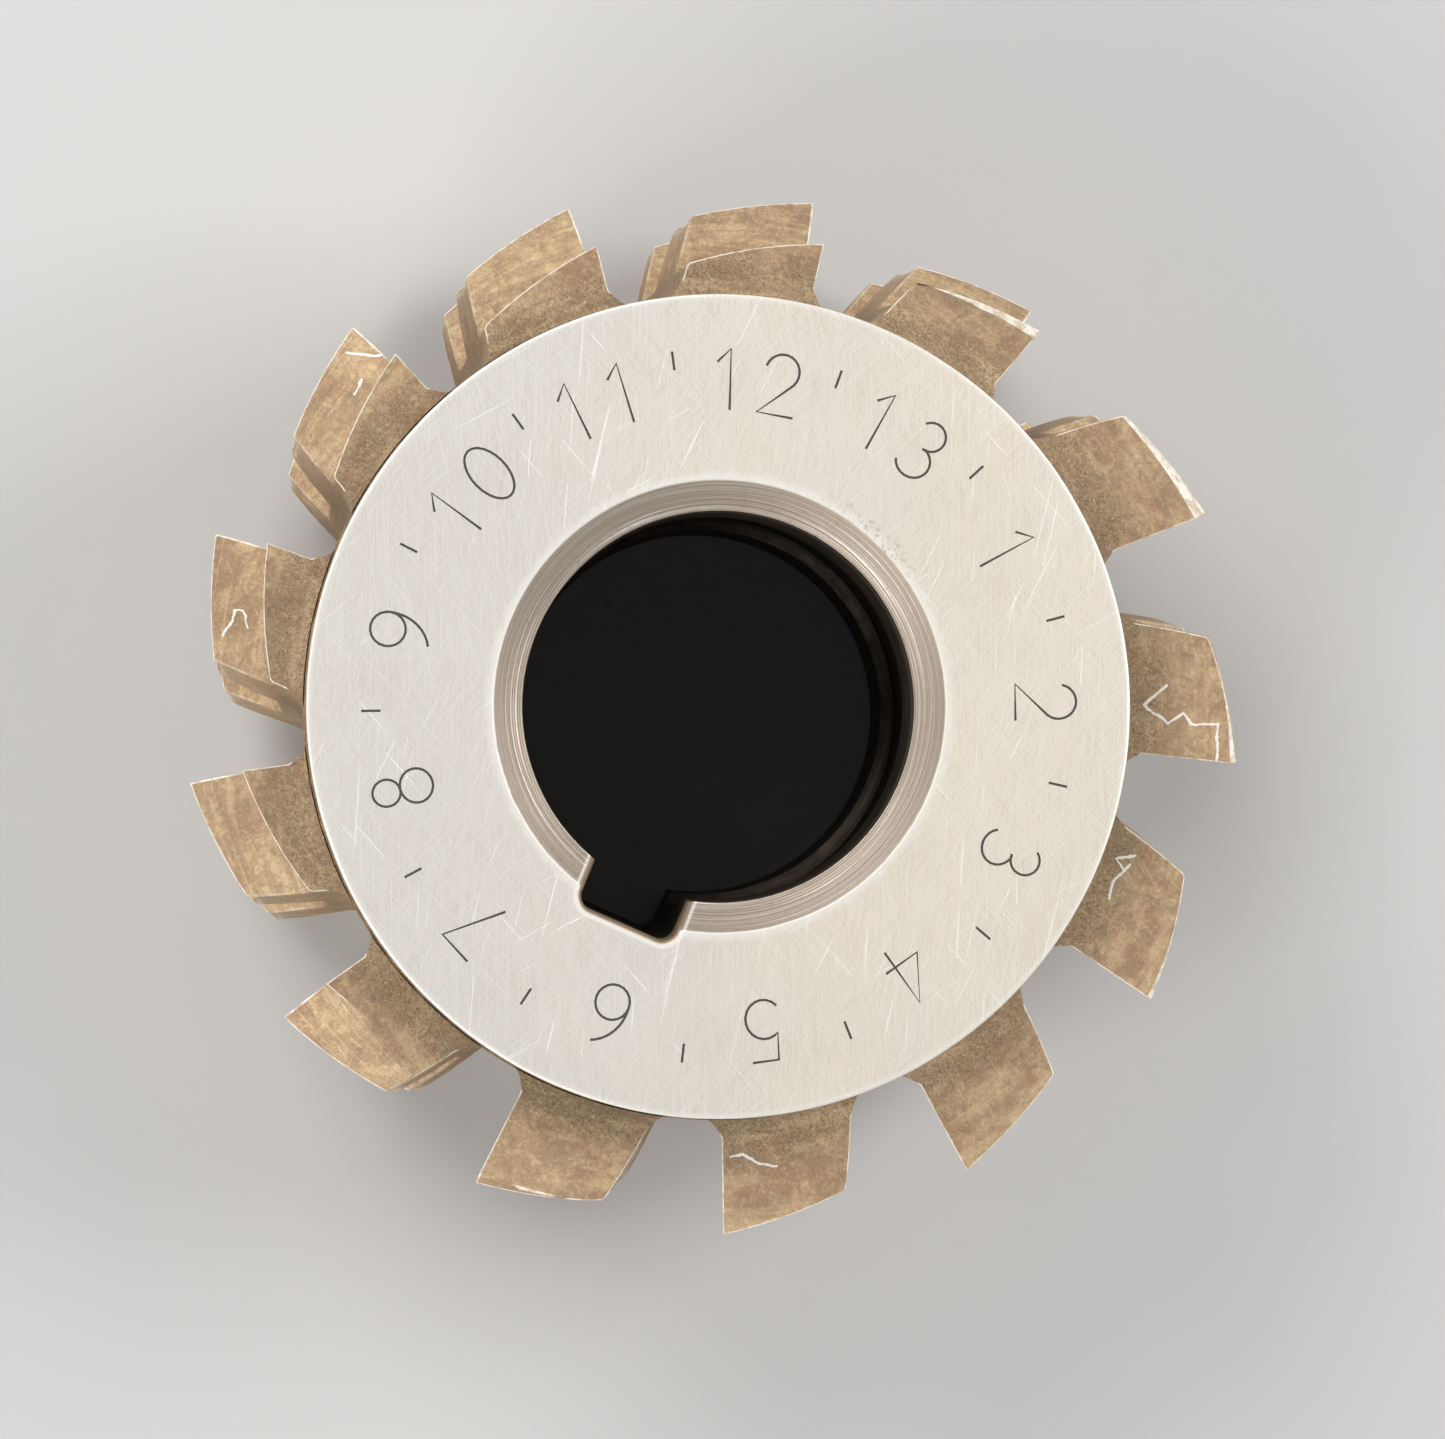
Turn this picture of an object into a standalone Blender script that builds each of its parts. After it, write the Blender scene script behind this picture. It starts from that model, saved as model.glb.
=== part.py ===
"""Spline hob: a relieved, single-start cutting worm with a keyed bore.

Units are metres and +Z is up. The tool's axis is +Z, it stands on its rear hub face at
z = 0, and the keyway is centred on -Y. The right-hand thread is cut through by gashes that
wind the other way, square to it, which leaves one row of teeth between each two gashes.

Angles called "behind the face" are measured from a row's cutting face towards its heel,
which is counter-clockwise seen from the front (+Z).
"""

import math

import bmesh
import bpy
from mathutils import Vector

# Overall size
LENGTH = 0.0400
HUB_LENGTH = 0.0046
HUB_RADIUS = 0.02825
HUB_EDGE_BEVEL = 0.0003
SEAM_GAP = 0.0003

# Bore, with a ground land at each end and a relieved middle
BORE_RADIUS = 0.0135
BORE_RELIEF_RADIUS = 0.0144
BORE_RELIEF_SLOPE = 0.0005
BORE_LAND_LENGTH = 0.0110
MOUTH_RADIUS = 0.0155
MOUTH_DEPTH = 0.0018

# Keyway
KEYWAY_WIDTH = 0.0070
KEYWAY_FLOOR = 0.0163
KEYWAY_CORNER = 0.0010
KEYWAY_CORNER_SEGMENTS = 3

# Thread. The root radius holds at the cutting face. TOOTH_SIDE runs from the foot of a flank
# over the lug on the crest's corner to the lower middle of the crest, as (along, up).
AXIAL_PITCH = 0.01997
PITCH_RADIUS = 0.0349
ROOT_RADIUS = 0.03305
TOOTH_WIDTH = 0.01175
TOOTH_SIDE = (
    (0.0, 0.0),
    (0.00015, 0.00020),
    (0.00062, 0.00190),
    (0.00132, 0.00315),
    (0.00187, 0.00387),
    (0.00260, 0.00350),
)
THREAD_START = -0.00889
TURNS_BEFORE = 1
TURNS_AFTER = 3

# The thread's thin start is ground off at a slant: height of the slant's edge by row
START_EDGE = {12: 0.00095, 0: 0.00295, 1: 0.00310, 2: 0.00320}
START_SLANT = 0.94

# Rows of teeth
ROWS = 13
FIRST_FACE_ANGLE = math.radians(45.4)
RELIEF_DROP = 0.00745
GASH_RADIUS = 0.0286

# Back of a tooth: a straight slope from the crest's heel to the gash fillet
CREST_HEEL_ANGLE = math.radians(14.3)
CREST_HEEL_RADIUS = 0.03465
SLOPE_FOOT_ANGLE = math.radians(17.4)
SLOPE_FOOT_RADIUS = 0.0300
GASH_FILLET_ANGLE = math.radians(2.4)
FACE_FILLET_ANGLE = math.radians(2.2)
FACE_FILLET_HEIGHT = 0.0011

# Fineness of the mesh
TURN_STEPS = 72
LAND_STEPS = 3
FOOT_STEPS = 4
START_STEP = 0.00002
OVERRUN = 0.0030

# Values that follow from the ones above
FRONT_END = LENGTH - HUB_LENGTH
REAR_END = HUB_LENGTH
ROW_PITCH = math.tau / ROWS
PITCH_HELIX = math.atan(AXIAL_PITCH / (math.tau * PITCH_RADIUS))
GASH_TWIST = math.tan(PITCH_HELIX) / PITCH_RADIUS
TWIST_SHARE = 1 + AXIAL_PITCH * GASH_TWIST / math.tau
TOOTH_SPACING = AXIAL_PITCH / TWIST_SHARE
ROW_FOOT_RADIUS = GASH_RADIUS + SEAM_GAP
SLOPE_FALL = (CREST_HEEL_RADIUS - SLOPE_FOOT_RADIUS) / (SLOPE_FOOT_ANGLE - CREST_HEEL_ANGLE)

HUB_STEEL = ((0.60, 0.56, 0.50), 0.35)
BORE_STEEL = ((0.16, 0.13, 0.11), 0.50)
TOOTH_STEEL = ((0.27, 0.20, 0.12), 0.45)


def clear_scene():
    for obj in list(bpy.data.objects):
        bpy.data.objects.remove(obj, do_unlink=True)


def new_collection(name):
    collection = bpy.data.collections.new(name)
    bpy.context.scene.collection.children.link(collection)
    return collection


def steel(name, colour, roughness):
    """A metal Principled material."""
    material = bpy.data.materials.new(name)
    material.use_nodes = True
    shader = material.node_tree.nodes["Principled BSDF"]
    shader.inputs["Base Color"].default_value = (*colour, 1.0)
    shader.inputs["Roughness"].default_value = roughness
    shader.inputs["Metallic"].default_value = 1.0
    material.diffuse_color = (*colour, 1.0)
    return material


def mesh_object(name, bm, collection, look=None):
    """An object from a bmesh, shaded smooth except at its sharp edges."""
    mesh = bpy.data.meshes.new(name)
    bm.to_mesh(mesh)
    bm.free()
    mesh.shade_smooth()
    mesh.set_sharp_from_angle(angle=math.radians(25))
    obj = bpy.data.objects.new(name, mesh)
    collection.objects.link(obj)
    if look:
        mesh.materials.append(steel(name, *look))
    return obj


def turned(name, profile, collection, look):
    """A ring turned about Z from a closed profile of (radius, height) points."""
    bm = bmesh.new()
    points = [bm.verts.new((radius, 0.0, height)) for radius, height in profile]
    for start, end in zip(points, points[1:] + points[:1]):
        bm.edges.new((start, end))
    obj = mesh_object(name, bm, collection, look)
    screw = obj.modifiers.new("turn", "SCREW")
    screw.axis = "Z"
    screw.steps = TURN_STEPS
    screw.render_steps = TURN_STEPS
    screw.use_merge_vertices = True
    screw.merge_threshold = 0.00001
    screw.use_smooth_shade = True
    return obj


def keyway_cutter(collection):
    """A bar along the bore with its two floor corners rounded."""
    bm = bmesh.new()
    bmesh.ops.create_cube(bm, size=1.0)
    height = 2 * LENGTH
    bmesh.ops.scale(bm, vec=(KEYWAY_WIDTH, KEYWAY_FLOOR, height), verts=bm.verts)
    bmesh.ops.translate(bm, vec=(0.0, -KEYWAY_FLOOR / 2, LENGTH / 2), verts=bm.verts)
    floor_edges = [
        edge
        for edge in bm.edges
        if all(vert.co.y < -KEYWAY_FLOOR / 2 for vert in edge.verts)
        and abs(edge.verts[0].co.z - edge.verts[1].co.z) > LENGTH
    ]
    bmesh.ops.bevel(
        bm,
        geom=floor_edges,
        offset=KEYWAY_CORNER,
        segments=KEYWAY_CORNER_SEGMENTS,
        profile=0.5,
        affect="EDGES",
    )
    cutter = mesh_object("keyway_cutter", bm, collection)
    cutter.hide_render = True
    cutter.display_type = "WIRE"
    return cutter


def cut_keyway(obj, cutter):
    cut = obj.modifiers.new("keyway", "BOOLEAN")
    cut.operation = "DIFFERENCE"
    cut.solver = "EXACT"
    cut.object = cutter


def hub_profile(outer_face, inner_face):
    """A hub ring between its seam and its outer face; the mouth opens at the outer face."""
    way = math.copysign(1.0, outer_face - inner_face)
    profile = [
        (MOUTH_RADIUS, outer_face),
        (HUB_RADIUS - HUB_EDGE_BEVEL, outer_face),
        (HUB_RADIUS, outer_face - way * HUB_EDGE_BEVEL),
        (HUB_RADIUS, inner_face),
        (BORE_RADIUS, inner_face),
        (BORE_RADIUS, outer_face - way * MOUTH_DEPTH),
    ]
    return profile if way > 0 else profile[::-1]


def core_profile():
    """The bored middle: plain outside, relieved between the two ground lands inside."""
    top = FRONT_END - SEAM_GAP
    bottom = REAR_END + SEAM_GAP
    front_land = LENGTH - BORE_LAND_LENGTH
    rear_land = BORE_LAND_LENGTH
    return [
        (GASH_RADIUS, top),
        (GASH_RADIUS, bottom),
        (BORE_RADIUS, bottom),
        (BORE_RADIUS, rear_land),
        (BORE_RELIEF_RADIUS, rear_land + BORE_RELIEF_SLOPE),
        (BORE_RELIEF_RADIUS, front_land - BORE_RELIEF_SLOPE),
        (BORE_RADIUS, front_land),
        (BORE_RADIUS, top),
    ]


def face_angle(row, height):
    """Direction of a row's cutting face at a height: the gash winds left-handed."""
    return FIRST_FACE_ANGLE - row * ROW_PITCH + GASH_TWIST * (FRONT_END - height)


def thread_knots(row):
    """(depth from the front end plane, height above the root) along a row's cutting face."""
    knots = []
    row_start = THREAD_START + row * TOOTH_SPACING / ROWS
    for turn in range(-TURNS_BEFORE, TURNS_AFTER):
        start = row_start + turn * TOOTH_SPACING
        knots += [(start + along, up) for along, up in TOOTH_SIDE]
        knots += [(start + TOOTH_WIDTH - along, up) for along, up in TOOTH_SIDE[::-1]]
    return knots


def height_at(knots, depth):
    """Thread height at a depth, between the knots on either side of it."""
    for (before, low), (after, high) in zip(knots, knots[1:]):
        if before <= depth <= after:
            return low + (high - low) * (depth - before) / (after - before)
    return 0.0


def slanted_start(knots, edge):
    """The knots with the thread's start ground down to a slant that rises from its edge."""
    depth = 0.0
    while edge + START_SLANT * depth < height_at(knots, depth):
        depth += START_STEP
    ridge = (depth, height_at(knots, depth))
    return [(-OVERRUN, edge), (0.0, edge), ridge] + [knot for knot in knots if knot[0] > depth]


def row_sections(row):
    """The thread's knots along one row, closed off a little past both end planes."""
    first = -OVERRUN
    last = FRONT_END - REAR_END + OVERRUN
    knots = thread_knots(row)
    if row in START_EDGE:
        knots = slanted_start(knots, START_EDGE[row])
    inside = [knot for knot in knots if first < knot[0] < last]
    return [
        (first, height_at(knots, first)),
        *inside,
        (last, height_at(knots, last)),
    ]


def outline(height):
    """(angle behind the face, radius) round a row, for one height of thread."""
    top = ROOT_RADIUS + height
    gap = CREST_HEEL_RADIUS + SLOPE_FALL * CREST_HEEL_ANGLE - top
    heel = gap / (SLOPE_FALL - RELIEF_DROP)
    land = [
        (heel * step / LAND_STEPS, top - RELIEF_DROP * heel * step / LAND_STEPS)
        for step in range(LAND_STEPS + 1)
    ]
    drop = SLOPE_FOOT_RADIUS - ROW_FOOT_RADIUS
    heel_fillet = [
        (SLOPE_FOOT_ANGLE + GASH_FILLET_ANGLE * part, ROW_FOOT_RADIUS + drop * (1 - part) ** 2)
        for part in (0.0, 0.3, 0.65, 1.0)
    ]
    end = heel_fillet[-1][0]
    foot = [
        (end - (end + FACE_FILLET_ANGLE) * step / FOOT_STEPS, ROW_FOOT_RADIUS)
        for step in range(1, FOOT_STEPS)
    ]
    face_fillet = [
        (-FACE_FILLET_ANGLE * part, ROW_FOOT_RADIUS + FACE_FILLET_HEIGHT * (1 - part) ** 2)
        for part in (1.0, 0.5, 0.0)
    ]
    return land + heel_fillet + foot + face_fillet


def ring_points(row, depth, height):
    """One section of a row. Behind the face its points follow the thread, and so rise."""
    face_height = FRONT_END - depth
    points = []
    for behind, radius in outline(height):
        turn = behind / TWIST_SHARE
        angle = face_angle(row, face_height) + turn
        rise = AXIAL_PITCH * turn / math.tau
        points.append(
            Vector((radius * math.cos(angle), radius * math.sin(angle), face_height + rise))
        )
    return points


def trim(bm, height, keep_below):
    """Cuts the loft off square at an end plane and closes the cut."""
    cut = bmesh.ops.bisect_plane(
        bm,
        geom=bm.verts[:] + bm.edges[:] + bm.faces[:],
        dist=1e-7,
        plane_co=(0.0, 0.0, height),
        plane_no=(0.0, 0.0, 1.0 if keep_below else -1.0),
        clear_outer=True,
    )
    edges = [item for item in cut["geom_cut"] if isinstance(item, bmesh.types.BMEdge)]
    bmesh.ops.contextual_create(bm, geom=edges)


def tooth_row(row, collection):
    """One relieved row, lofted along the gash and trimmed to the toothed length."""
    bm = bmesh.new()
    rings = [
        [bm.verts.new(point) for point in ring_points(row, depth, height)]
        for depth, height in row_sections(row)
    ]
    for near, far in zip(rings, rings[1:]):
        for k in range(len(near)):
            bm.faces.new((near[k - 1], near[k], far[k], far[k - 1]))
    bm.faces.new(rings[0])
    bm.faces.new(rings[-1][::-1])
    trim(bm, FRONT_END, keep_below=True)
    trim(bm, REAR_END, keep_below=False)
    bmesh.ops.recalc_face_normals(bm, faces=bm.faces[:])
    return mesh_object(f"tooth_row_{row + 1:02d}", bm, collection, TOOTH_STEEL)


def build():
    clear_scene()
    parts = new_collection("spline_hob")
    cutters = new_collection("cutters")
    cutter = keyway_cutter(cutters)
    bored = [
        turned("hub_front", hub_profile(LENGTH, FRONT_END), parts, HUB_STEEL),
        turned("hub_rear", hub_profile(0.0, REAR_END), parts, HUB_STEEL),
        turned("core_body", core_profile(), parts, BORE_STEEL),
    ]
    for obj in bored:
        cut_keyway(obj, cutter)
    for row in range(ROWS):
        tooth_row(row, parts)


build()
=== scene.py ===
"""The looks of the spline hob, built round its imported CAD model.

Every solid of the CAD model is replaced by a finer piece at the same place: two ground hubs,
the bored core and thirteen relieved rows of teeth. Units are metres, the axis is +Z and the
tool stands on its rear hub. "Depth" is measured down from the front end of the teeth, and
angles "behind the face" run from a row's cutting face towards its heel.
"""

import math

import bmesh
import bpy
from mathutils import Matrix, Vector
from mathutils import noise as noise3


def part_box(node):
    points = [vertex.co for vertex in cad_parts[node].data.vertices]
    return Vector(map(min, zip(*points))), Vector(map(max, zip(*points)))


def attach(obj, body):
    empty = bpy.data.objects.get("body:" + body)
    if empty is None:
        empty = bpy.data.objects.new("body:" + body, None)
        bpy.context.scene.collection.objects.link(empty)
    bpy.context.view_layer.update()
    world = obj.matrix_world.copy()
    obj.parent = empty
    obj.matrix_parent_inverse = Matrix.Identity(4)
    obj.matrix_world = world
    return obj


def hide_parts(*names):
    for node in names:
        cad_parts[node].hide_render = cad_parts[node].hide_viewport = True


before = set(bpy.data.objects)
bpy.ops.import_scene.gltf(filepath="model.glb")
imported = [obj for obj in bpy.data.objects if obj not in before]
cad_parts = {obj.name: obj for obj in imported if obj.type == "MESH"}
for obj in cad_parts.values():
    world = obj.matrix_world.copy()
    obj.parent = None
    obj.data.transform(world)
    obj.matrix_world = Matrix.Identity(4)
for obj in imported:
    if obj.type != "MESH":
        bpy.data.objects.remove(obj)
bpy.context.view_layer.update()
MM = 0.001

# Sizes that the frame gives
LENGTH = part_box("hub_front")[1].z
FRONT_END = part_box("hub_front")[0].z
REAR_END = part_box("hub_rear")[1].z
HUB_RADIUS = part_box("hub_front")[1].x
GASH_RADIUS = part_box("core_body")[1].x
ROWS = sum(name.startswith("tooth_row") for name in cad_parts)

# Hubs, bore and keyway
BORE_RADIUS = 13.5 * MM
RELIEF_RADIUS = 14.4 * MM
RELIEF_SLOPE = 0.5 * MM
LAND_LENGTH = 11.0 * MM
MOUTH_RADIUS = 15.5 * MM
MOUTH_DEPTH = 1.8 * MM
MOUTH_STEPS = 48
MOUTH_GROOVES = (6, 11)
GROOVE_DEPTH = 0.010 * MM
MOUTH_EDGE = 0.10 * MM
HUB_EDGE = 0.17 * MM
HUB_EDGE_ROUND = 0.29
HUB_STEPS = 360
KEYWAY_WIDTH = 7.0 * MM
KEYWAY_FLOOR = 16.3 * MM
KEYWAY_CORNER = 1.0 * MM
KEYWAY_RIM = 0.42 * MM
KEYWAY_INNER = 12.4 * MM
KEYWAY_OVERCUT = 0.4 * MM
KEYWAY_SIDE_STEPS = 12
KEYWAY_CORNER_STEPS = 8
RIM_STEPS = 8

# Thread, as the CAD has it: half a tooth's section as (along, up), and which knots are edges
AXIAL_PITCH = 19.97 * MM
PITCH_RADIUS = 34.9 * MM
ROOT_RADIUS = 33.05 * MM
TOOTH_WIDTH = 11.75 * MM
TOOTH_SIDE = (
    (0.0, 0.0, False),
    (0.15 * MM, 0.20 * MM, False),
    (0.62 * MM, 1.90 * MM, False),
    (1.32 * MM, 3.15 * MM, False),
    (1.87 * MM, 3.87 * MM, True),
    (2.60 * MM, 3.50 * MM, False),
)
THREAD_START = -8.89 * MM

# The thread's thin start, ground to a slant: its height at the front end of each row that it
# crosses, and how it rises with depth
START_EDGE = {12: 0.95 * MM, 0: 2.95 * MM, 1: 3.10 * MM, 2: 3.20 * MM}
START_SLANT = 0.94
START_STEP = 0.02 * MM
OVERRUN = 3.0 * MM

# Rows
ROW_PITCH = math.tau / ROWS
FIRST_FACE_ANGLE = math.radians(45.4)
RELIEF_DROP = 7.45 * MM
CREST_HEEL_ANGLE = math.radians(14.3)
CREST_HEEL_RADIUS = 34.65 * MM
SLOPE_FOOT_ANGLE = math.radians(17.4)
SLOPE_FOOT_RADIUS = 30.0 * MM
GASH_FILLET_ANGLE = math.radians(2.7)
FACE_FILLET_ANGLE = math.radians(2.5)
FACE_FILLET_HEIGHT = 1.3 * MM
FOOT_RADIUS = GASH_RADIUS - 0.06 * MM
GASH_TWIST = AXIAL_PITCH / (math.tau * PITCH_RADIUS**2)
TWIST_SHARE = 1 + AXIAL_PITCH * GASH_TWIST / math.tau
TOOTH_SPACING = AXIAL_PITCH / TWIST_SHARE
SLOPE_FALL = (CREST_HEEL_RADIUS - SLOPE_FOOT_RADIUS) / (SLOPE_FOOT_ANGLE - CREST_HEEL_ANGLE)

# Worn edges: the chamfer's reach each way, how far the bare metal shows beside it, and nicks
EDGE_CHAMFER = 0.06 * MM
CAP_CHAMFER = 0.05 * MM
CAP_WEAR = 0.04 * MM
CAP_SNAP = 0.06 * MM
FOOT_COVER = 1.2 * MM
SHALLOW = 0.80
WEAR_REACH = 0.17 * MM
LEAST_WEAR = 0.15
# The heel corners' brightness is a painted highlight, carried in the wear values.
HEEL_HIGHLIGHT = 0.35
HEEL_ROUND = 0.16 * MM
SECTION_STEP = 0.55 * MM
LAND_STEPS = 9
SLOPE_STEPS = 5
FILLET_STEPS = 6
NICK_DEPTH = 0.10 * MM
NICK_START = 0.30
NICKS_PER_METRE = 900.0

# Meshes: shading angles in degrees, and the distance at which points count as one
SMOOTH_ANGLE = 30.0
TOOTH_SMOOTH_ANGLE = 22.0
LEVEL = 0.9999
WELD = 1e-7

# Engraved row numbers
NUMERAL_HEIGHT = 4.2 * MM
NUMERAL_WIDTH = 0.60
NUMERAL_BASE = 20.3 * MM
NUMERAL_GAP = 1.0 * MM
NUMERAL_LEAD = math.radians(7.0)
TICK_RADII = (23.2 * MM, 24.5 * MM)
CLOSED_GAP = 0.001 * MM
CUT_RADIUS = 0.100 * MM
CUT_LIFT = 0.020 * MM

# Camera: it looks down the axis, a little off square, with the keyway turned to lower left
VIEW_ROLL = math.radians(23.9)
VIEW_YAW = -0.0545
VIEW_PITCH = 0.0117
VIEW_DISTANCE = 348.6 * MM
VIEW_OFFSET = (0.17 * MM, -0.91 * MM)
VIEW_LENS = 126.907

# Studio: soft light from all round, with less from straight above so that the bore stays dark
WORLD_COLOUR = (0.94, 0.96, 1.0, 1.0)
WORLD_FADE = (0.45, 0.95)
WORLD_LOW = 0.56
WORLD_TOP = 0.06
LIGHT_COLOUR = (1.0, 0.98, 0.95)
LIGHT_AIM = (0.0, 0.0, 20 * MM)
LIGHTS = (
    ("key", (-0.48, 0.28, 0.50), 0.40, 3.1),
    ("fill", (0.46, 0.36, 0.48), 0.38, 3.0),
    ("back", (-0.22, -0.54, 0.42), 0.38, 2.6),
)
FLOOR_COLOUR = (0.60, 0.60, 0.60, 1.0)
FLOOR_HALF = 3.0
FLOOR_DROP = 0.2 * MM


# ---------------------------------------------------------------- mesh helpers


def new_object(name, mesh):
    obj = bpy.data.objects.new(name, mesh)
    bpy.context.scene.collection.objects.link(obj)
    return obj


def mesh_object(name, bm, smooth_angle=SMOOTH_ANGLE):
    """An object from a bmesh, with its faces pointing out and its sharp edges marked."""
    bmesh.ops.recalc_face_normals(bm, faces=bm.faces[:])
    mesh = bpy.data.meshes.new(name)
    bm.to_mesh(mesh)
    bm.free()
    mesh.shade_smooth()
    mesh.set_sharp_from_angle(angle=math.radians(smooth_angle))
    return new_object(name, mesh)


def loft(bm, rings, closed=False):
    """Quads between closed rings of vertices, with the ends joined if closed, or else filled."""
    pairs = list(zip(rings, rings[1:]))
    if closed:
        pairs.append((rings[-1], rings[0]))
    for near, far in pairs:
        for k in range(len(near)):
            bm.faces.new((near[k - 1], near[k], far[k], far[k - 1]))
    if not closed:
        bm.faces.new(rings[0])
        bm.faces.new(rings[-1][::-1])


def cut_with(obj, cutter):
    """Cuts obj with a closed cutter, shades its level faces flat and removes the cutter."""
    cut = obj.modifiers.new("cut", "BOOLEAN")
    cut.operation = "DIFFERENCE"
    cut.solver = "EXACT"
    cut.use_self = True
    cut.object = cutter
    graph = bpy.context.evaluated_depsgraph_get()
    mesh = bpy.data.meshes.new_from_object(obj.evaluated_get(graph))
    obj.modifiers.clear()
    obj.data = mesh
    mesh.set_sharp_from_angle(angle=math.radians(SMOOTH_ANGLE))
    for face in mesh.polygons:
        if abs(face.normal.z) > LEVEL:
            face.use_smooth = False
    bpy.data.objects.remove(cutter, do_unlink=True)


def wobble(*coordinates):
    """Smooth noise between about -1 and 1 that is the same each run."""
    return noise3.noise(Vector(coordinates))


# ---------------------------------------------------------------- hubs and core


def mouth_depth(radius):
    """Depth of the bore's chamfer below the hub face at a radius."""
    share = (MOUTH_RADIUS - radius) / (MOUTH_RADIUS - BORE_RADIUS)
    return MOUTH_DEPTH * max(0.0, share)


def hub_section(angle):
    """(radius, depth below the hub face) round a hub's section at one angle."""
    x, y = math.cos(angle), math.sin(angle)
    bevel = HUB_EDGE * (1.0 + 0.30 * wobble(9 * x, 9 * y, 1.0))
    bevel += NICK_DEPTH * 2.2 * max(0.0, wobble(40 * x, 40 * y, 5.0) - 0.42)
    chip = NICK_DEPTH * 1.6 * max(0.0, wobble(24 * x, 24 * y, 9.0) - 0.30)
    thickness = LENGTH - FRONT_END
    section = [
        (HUB_RADIUS - bevel, 0.0),
        (HUB_RADIUS - HUB_EDGE_ROUND * bevel, HUB_EDGE_ROUND * bevel),
        (HUB_RADIUS, bevel),
        (HUB_RADIUS, thickness),
        (BORE_RADIUS, thickness),
        (BORE_RADIUS, MOUTH_DEPTH + chip),
    ]
    for step in range(1, MOUTH_STEPS):
        share = step / MOUTH_STEPS
        radius = BORE_RADIUS + (MOUTH_RADIUS - BORE_RADIUS) * share
        radius += chip * (1.0 - share) ** 6
        coarse, fine = (math.sin(math.tau * count * share + angle) for count in MOUTH_GROOVES)
        groove = GROOVE_DEPTH * (coarse * (1.2 - share) + fine * (1.5 - 1.3 * share))
        section.append((radius, mouth_depth(radius) + groove))
    soft = MOUTH_EDGE * (1.0 + 0.5 * wobble(14 * x, 14 * y, 3.0))
    section.append((MOUTH_RADIUS, 0.25 * soft))
    section.append((MOUTH_RADIUS + soft, 0.0))
    return section


def turned_ring(bm, angle, profile):
    """Vertices along a (radius, height) profile, turned about the axis to an angle."""
    x, y = math.cos(angle), math.sin(angle)
    return [bm.verts.new((radius * x, radius * y, height)) for radius, height in profile]


def hub_ring(name, face, way):
    """One hub, turned in steps; way is +1 at the front and -1 at the rear."""
    bm = bmesh.new()
    rings = []
    for step in range(HUB_STEPS):
        angle = math.tau * step / HUB_STEPS
        rings.append(turned_ring(bm, angle, [(r, face - way * d) for r, d in hub_section(angle)]))
    loft(bm, rings, closed=True)
    return mesh_object(name, bm)


def keyway_outline():
    """(x, y, outward x, outward y) round the keyway's open end, sides, corners and floor."""
    half = KEYWAY_WIDTH / 2
    centre = KEYWAY_FLOOR - KEYWAY_CORNER
    side = []
    for step in range(KEYWAY_SIDE_STEPS):
        y = -KEYWAY_INNER - (centre - KEYWAY_INNER) * step / KEYWAY_SIDE_STEPS
        side.append((half, y, 1.0, 0.0))
    corner = []
    for step in range(KEYWAY_CORNER_STEPS + 1):
        turn = math.pi / 2 * step / KEYWAY_CORNER_STEPS
        out_x, out_y = math.cos(turn), -math.sin(turn)
        corner.append(
            (half - KEYWAY_CORNER * (1 - out_x), -centre + KEYWAY_CORNER * out_y, out_x, out_y)
        )
    right = side + corner
    return right + [(-x, y, -out_x, out_y) for x, y, out_x, out_y in right[::-1]]


def keyway_cutter(face, way, reach, rim):
    """A bar with the keyway's outline. With a rim it flares out where it leaves the metal."""
    bm = bmesh.new()
    outline = keyway_outline()
    levels = [(-KEYWAY_OVERCUT, rim)]
    for step in range(RIM_STEPS + 1):
        turn = math.pi / 2 * step / RIM_STEPS
        levels.append((rim * (1 - math.cos(turn)), rim * (1 - math.sin(turn))))
    rings = []
    for below, flare in levels:
        ring = []
        for x, y, out_x, out_y in outline:
            depth = below + mouth_depth(math.hypot(x, y))
            ring.append(bm.verts.new((x + flare * out_x, y + flare * out_y, face - way * depth)))
        rings.append(ring)
    top = [bm.verts.new((v.co.x, v.co.y, face + way * MM)) for v in rings[0]]
    bottom = [bm.verts.new((v.co.x, v.co.y, face - way * reach)) for v in rings[-1]]
    loft(bm, [top, *rings, bottom])
    return mesh_object("keyway_cutter", bm)


def plain_keyway_cutter():
    """The keyway's bar through the whole core."""
    bm = bmesh.new()
    rings = [
        [bm.verts.new((x, y, height)) for x, y, _, _ in keyway_outline()]
        for height in (-MM, LENGTH + MM)
    ]
    loft(bm, rings)
    return mesh_object("keyway_cutter", bm)


def core_ring():
    """The bored middle: gash bottoms outside, two ground lands and the relief inside."""
    profile = [
        (GASH_RADIUS, FRONT_END),
        (GASH_RADIUS, REAR_END),
        (BORE_RADIUS, REAR_END),
        (BORE_RADIUS, LAND_LENGTH),
        (RELIEF_RADIUS, LAND_LENGTH + RELIEF_SLOPE),
        (RELIEF_RADIUS, LENGTH - LAND_LENGTH - RELIEF_SLOPE),
        (BORE_RADIUS, LENGTH - LAND_LENGTH),
        (BORE_RADIUS, FRONT_END),
    ]
    bm = bmesh.new()
    rings = []
    for step in range(HUB_STEPS):
        rings.append(turned_ring(bm, math.tau * step / HUB_STEPS, profile))
    loft(bm, rings, closed=True)
    return mesh_object("core", bm)


# ---------------------------------------------------------------- engraved numbers


def arc(x, y, rx, ry, start, end, steps=14):
    """Points along part of an ellipse, in numeral units, between two angles in degrees."""
    turns = [math.radians(start + (end - start) * step / steps) for step in range(steps + 1)]
    return [(x + rx * math.cos(turn), y + ry * math.sin(turn)) for turn in turns]


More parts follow.
